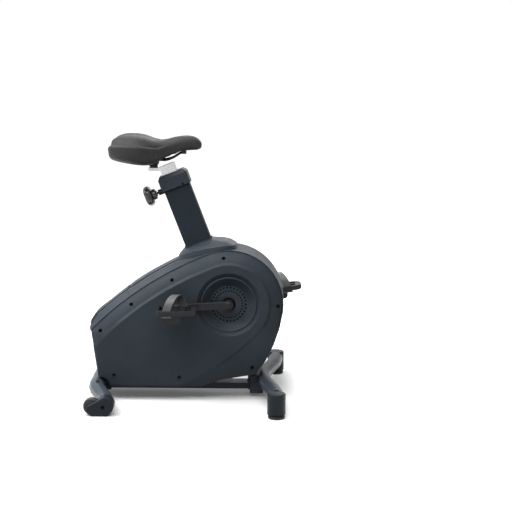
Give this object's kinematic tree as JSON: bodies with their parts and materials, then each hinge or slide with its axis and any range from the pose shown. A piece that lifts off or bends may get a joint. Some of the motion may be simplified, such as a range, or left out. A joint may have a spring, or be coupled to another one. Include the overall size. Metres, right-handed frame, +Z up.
{
  "type": "desk exercise bike",
  "caption": "Low exercise bike for use under a desk, with a belt-driven flywheel in a teardrop casing, a padded saddle on a height-adjustable post, strapped pedals and transport wheels.",
  "frame": {"origin": "on the floor, under the middle of the bike's outer box", "axes": "+X towards the desk that the rider faces, +Y to the rider's left, +Z up"},
  "size_m": [0.6999, 0.638, 0.8667],
  "materials": {
    "navy_painted_steel": "satin powder coat",
    "navy_plastic": "fine moulded texture",
    "black_plastic": "matt moulded",
    "knob_plastic": "half gloss",
    "wheel_plastic": "matt, hard",
    "black_rubber": "matt",
    "saddle_skin": "soft matt sheen",
    "bright_post": "polished",
    "black_alloy": "satin",
    "bright_steel": "zinc plated",
    "flywheel_iron": "turned, dark"
  },
  "bodies": {
    "stand": {"base_frame": "navy_painted_steel", "seat_mast": "navy_painted_steel", "front_crossbar": "navy_painted_steel", "front_bracket": "navy_painted_steel", "rear_crossbar": "navy_painted_steel", "rear_bracket": "navy_painted_steel", "left_casing": "navy_plastic", "right_casing": "navy_plastic", "left_crank_cover": "navy_plastic", "right_crank_cover": "navy_plastic", "rear_top_cover": "navy_plastic", "middle_top_cover": "navy_plastic", "front_cover": "navy_plastic", "mast_boot": "navy_plastic", "mast_collar": "navy_plastic", "front_foot_left": "navy_plastic", "front_foot_right": "navy_plastic", "rear_end_cap_left": "navy_plastic", "rear_end_cap_right": "navy_plastic", "post_guide": "black_plastic", "power_inlet": "black_plastic", "brake_motor": "black_plastic", "drive_belt": "black_rubber", "pin_sleeve": "bright_steel", "pin_spring": "bright_steel", "crank_bearing_left": "bright_steel", "crank_bearing_right": "bright_steel", "flywheel_axle": "bright_steel", "flywheel_bracket": "bright_steel", "brake_cable": "bright_steel"},
    "crankset": {"crank_axle": "bright_steel", "drive_pulley": "black_plastic", "crank_left": "black_alloy", "crank_right": "black_alloy", "pedal_spindle_left": "bright_steel", "pedal_spindle_right": "bright_steel"},
    "left_pedal_set": {"pedal_left": "black_plastic", "pedal_strap_left": "wheel_plastic"},
    "right_pedal_set": {"pedal_right": "black_plastic", "pedal_strap_right": "wheel_plastic"},
    "flywheel_set": {"flywheel": "flywheel_iron", "flywheel_pulley": "bright_steel", "flywheel_bearing_left": "bright_steel", "flywheel_bearing_right": "bright_steel"},
    "idler": {"idler_wheel": "black_plastic"},
    "magnet_arm": {"brake_arm": "bright_steel"},
    "spool": {"brake_spool": "black_plastic"},
    "post": {"seat_post": "bright_post", "clamp_core": "black_alloy"},
    "clamp": {"saddle_clamp": "black_alloy"},
    "saddle": {"saddle_rails": "black_alloy", "saddle_base": "black_plastic", "saddle_cushion": "saddle_skin"},
    "pull_pin": {"adjusting_pin": "bright_steel", "adjusting_knob": "knob_plastic"},
    "left_wheel": {"transport_wheel_left": "wheel_plastic"},
    "right_wheel": {"transport_wheel_right": "wheel_plastic"},
    "left_leveller": {"leveller_left": "black_rubber"},
    "right_leveller": {"leveller_right": "black_rubber"}
  },
  "joints": [
    {"name": "flywheel_spin", "type": "hinge", "parent": "stand", "child": "flywheel_set", "pos_m": [-0.13, -0.01, 0.19], "axis": [0, 1, 0], "continuous": true},
    {"name": "crank_spin", "type": "hinge", "parent": "stand", "child": "crankset", "pos_m": [0.1078, 0, 0.3214], "axis": [0, 1, 0], "continuous": true},
    {"name": "idler_spin", "type": "hinge", "parent": "stand", "child": "idler", "pos_m": [0.03, 0.043, 0.168], "axis": [0, 1, 0], "continuous": true},
    {"name": "pedal_left_spin", "type": "hinge", "parent": "crankset", "child": "left_pedal_set", "pos_m": [0.27766, 0, 0.32822], "axis": [0, 1, 0], "continuous": true},
    {"name": "pedal_right_spin", "type": "hinge", "parent": "crankset", "child": "right_pedal_set", "pos_m": [-0.06206, 0, 0.31458], "axis": [0, 1, 0], "continuous": true},
    {"name": "brake_arm_swing", "type": "hinge", "parent": "stand", "child": "magnet_arm", "pos_m": [-0.255, -0.01, 0.112], "axis": [0, -1, 0], "range_deg": [0, 7], "deforming": ["brake_cable"]},
    {"name": "spool_turn", "type": "hinge", "parent": "stand", "child": "spool", "pos_m": [-0.0237, -0.0281, 0.41348], "axis": [0, -1, 0], "range_deg": [0, 140]},
    {"name": "seat_post_slide", "type": "slide", "parent": "stand", "child": "post", "axis": [-0.3584, 0, 0.9336], "range_m": [0, 0.2]},
    {"name": "saddle_tilt", "type": "hinge", "parent": "post", "child": "clamp", "pos_m": [-0.13998, 0, 0.77549], "axis": [0, 1, 0], "range_deg": [-8, 5]},
    {"name": "saddle_fore_aft", "type": "slide", "parent": "clamp", "child": "saddle", "axis": [1, 0, 0], "range_m": [-0.012, 0.012]},
    {"name": "pin_pull", "type": "slide", "parent": "stand", "child": "pull_pin", "axis": [-0.9336, 0, -0.3584], "range_m": [0, 0.008], "stiffness_N_per_m": 600, "springref_m": -0.004, "deforming": ["pin_spring"]},
    {"name": "wheel_left_spin", "type": "hinge", "parent": "stand", "child": "left_wheel", "pos_m": [-0.3185, 0.27125, 0.0295], "axis": [0, 1, 0], "continuous": true},
    {"name": "wheel_right_spin", "type": "hinge", "parent": "stand", "child": "right_wheel", "pos_m": [-0.3185, -0.27125, 0.0295], "axis": [0, 1, 0], "continuous": true},
    {"name": "leveller_left_screw", "type": "slide", "parent": "stand", "child": "left_leveller", "axis": [0, 0, -1], "range_m": [0, 0.012]},
    {"name": "leveller_right_screw", "type": "slide", "parent": "stand", "child": "right_leveller", "axis": [0, 0, -1], "range_m": [0, 0.012]}
  ],
  "couplings": [
    {"joint": "crank_spin", "follows": "flywheel_spin", "ratio": 0.22088},
    {"joint": "idler_spin", "follows": "flywheel_spin", "ratio": -1.3153},
    {"joint": "spool_turn", "follows": "brake_arm_swing", "ratio": 18}
  ]
}
